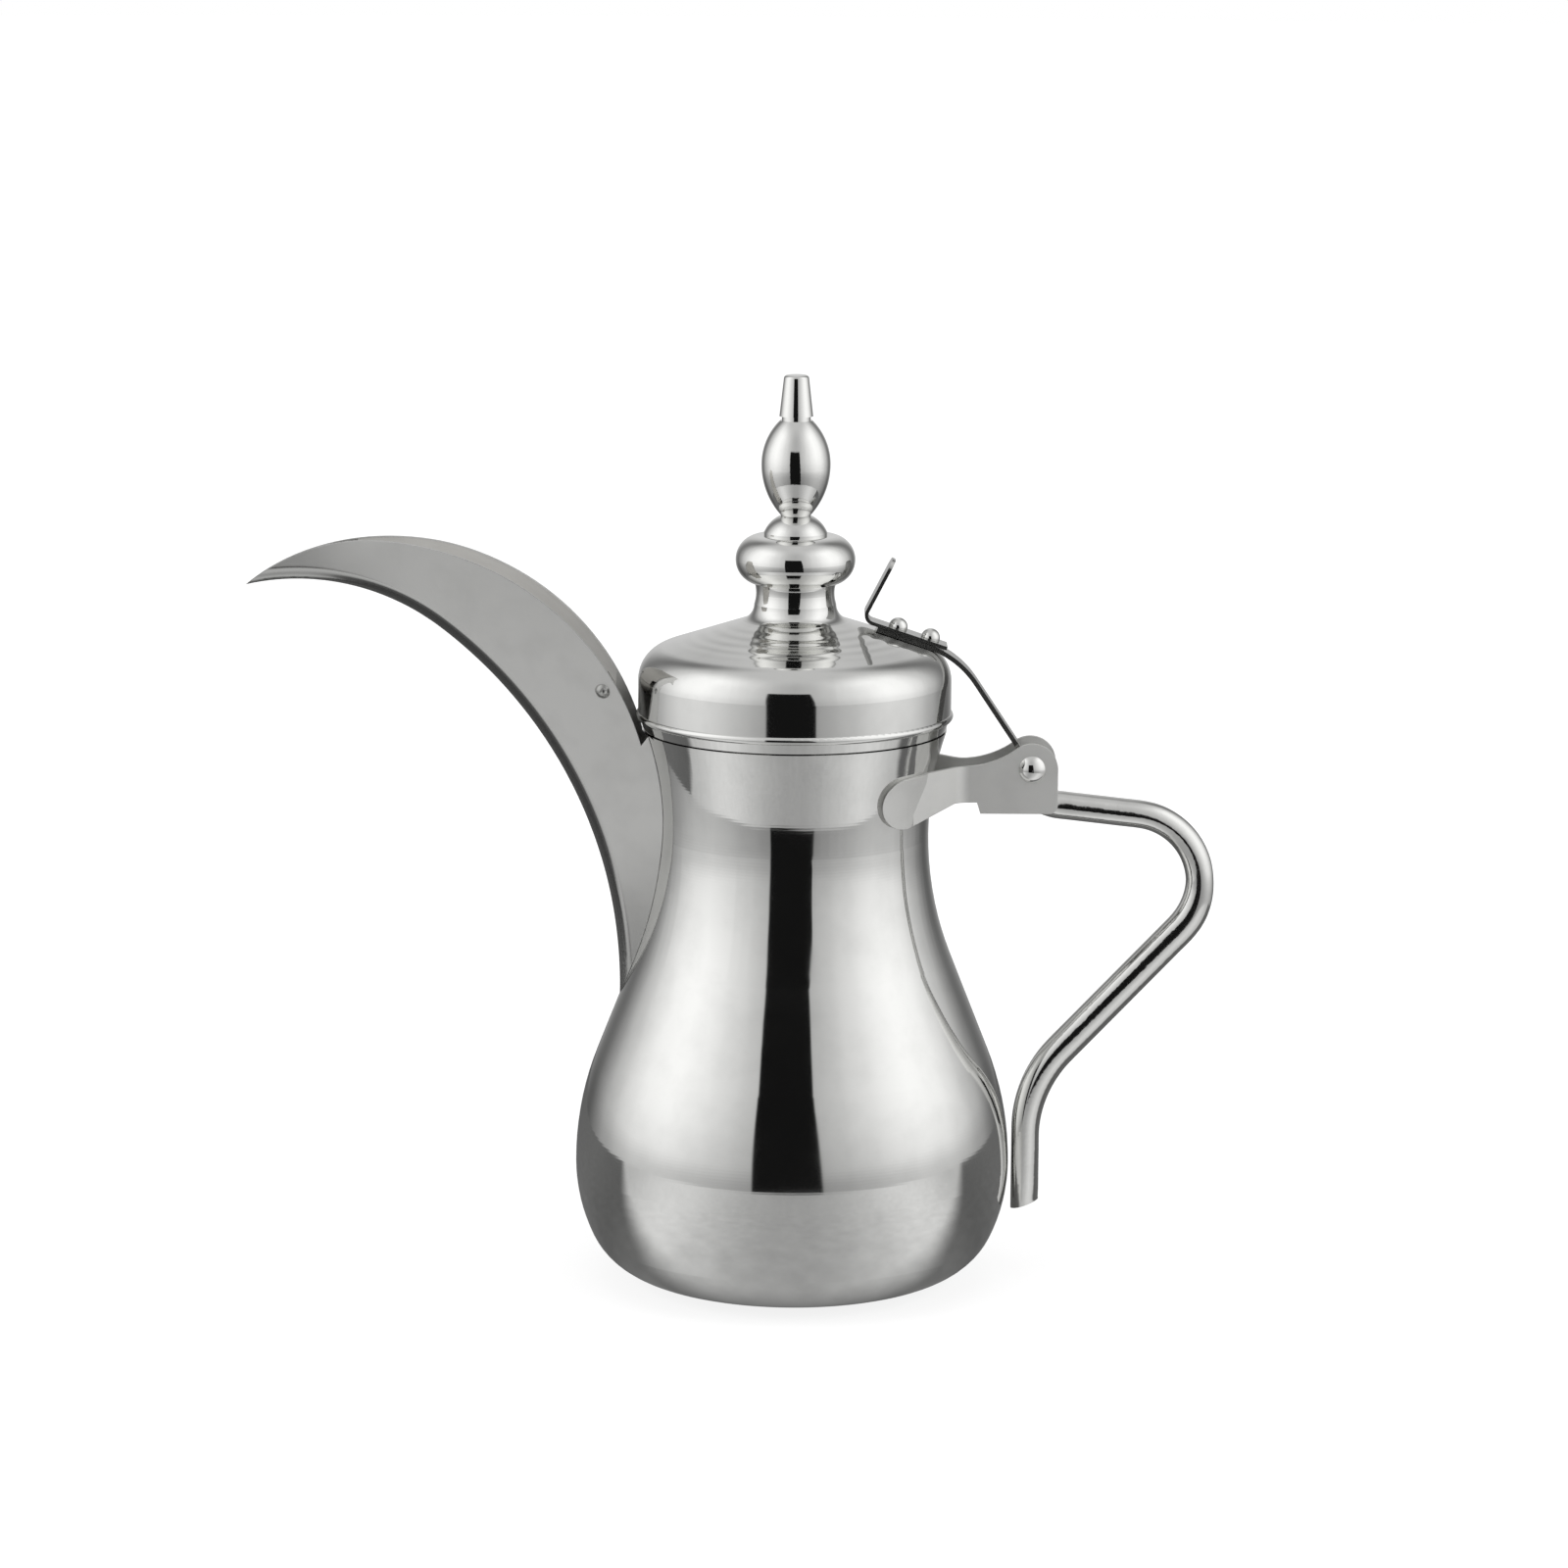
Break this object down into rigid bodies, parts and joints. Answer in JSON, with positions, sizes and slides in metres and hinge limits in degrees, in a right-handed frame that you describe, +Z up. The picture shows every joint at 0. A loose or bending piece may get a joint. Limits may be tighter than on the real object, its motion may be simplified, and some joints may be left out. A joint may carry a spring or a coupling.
{
  "type": "coffee pot",
  "caption": "Pear-shaped metal dallah coffee pot with a crescent open spout under a hinged flap, a domed hinged lid with a turned finial, and a bent tube handle.",
  "frame": {"origin": "centre of the flat base, where the pot stands", "axes": "+Z up along the axis of the pot, -X towards the spout's tip, +X towards the handle, Y across the pot"},
  "size_m": [0.2763, 0.125, 0.26],
  "materials": {
    "spun_steel": "mirror-polished spun stainless sheet",
    "sheet_steel": "polished cut and folded stainless sheet",
    "tube_steel": "polished bent stainless tube",
    "turned_steel": "polished turned stainless steel",
    "plain_steel": "plain zinc-grey steel hardware"
  },
  "bodies": {
    "pot": {"body_shell": "spun_steel", "spout": "sheet_steel", "flap_pin": "turned_steel", "bracket_cheek_left": "sheet_steel", "bracket_cheek_right": "sheet_steel", "handle": "tube_steel", "hinge_pin": "turned_steel"},
    "lid": {"lid_dome": "spun_steel", "lid_collar": "spun_steel", "hinge_strap": "sheet_steel", "thumb_lift": "sheet_steel", "strap_rivet_inner": "turned_steel", "strap_rivet_outer": "turned_steel", "finial_column": "turned_steel", "finial_mushroom": "turned_steel", "finial_cap": "turned_steel", "finial_egg": "turned_steel", "finial_ring": "turned_steel", "finial_tip": "turned_steel", "finial_rod": "plain_steel", "lid_washer": "plain_steel", "lid_nut": "plain_steel"},
    "spout_flap": {"spout_flap": "sheet_steel"}
  },
  "joints": [
    {"name": "lid_hinge", "type": "hinge", "parent": "pot", "child": "lid", "pos_m": [0.0676, 0, 0.1486], "axis": [0, 1, 0], "range_deg": [0, 110]},
    {"name": "flap_hinge", "type": "hinge", "parent": "pot", "child": "spout_flap", "pos_m": [-0.05401, 0, 0.17159], "axis": [0, 1, 0], "range_deg": [0, 60]}
  ]
}
